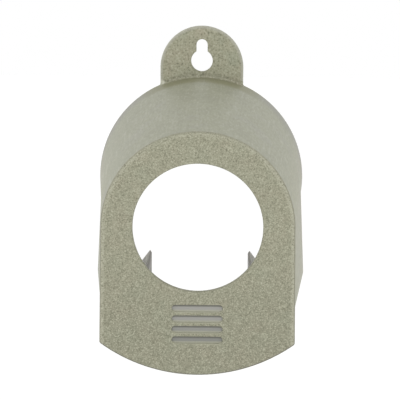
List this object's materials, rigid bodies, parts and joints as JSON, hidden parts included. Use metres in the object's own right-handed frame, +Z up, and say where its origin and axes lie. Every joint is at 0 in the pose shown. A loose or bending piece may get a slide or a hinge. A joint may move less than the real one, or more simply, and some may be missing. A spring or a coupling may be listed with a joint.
{
  "type": "bird feeder jar holder",
  "caption": "Wall-hung tapered hood with a keyhole tab and a front plate whose round hole shows the mouth of a jar lying inside on rails, for garden birds to feed from.",
  "frame": {"origin": "centre of the keyhole's round part, on the plane of the wall that the holder hangs on", "axes": "+Z up, +Y into the wall, -Y out towards the birds, +X to the right for someone facing the holder"},
  "size_m": [0.1042, 0.116, 0.1383],
  "materials": {
    "grained_face": "coarse spark-eroded grain, speckled sage green",
    "smooth_wall": "fine satin, faint drag marks along the draw"
  },
  "bodies": {
    "root": {"front_plate": "grained_face", "hanging_tab": "grained_face", "arch_roof": "smooth_wall", "left_side_wall": "smooth_wall", "right_side_wall": "smooth_wall", "left_cradle_rail": "smooth_wall", "right_cradle_rail": "smooth_wall"}
  },
  "joints": []
}
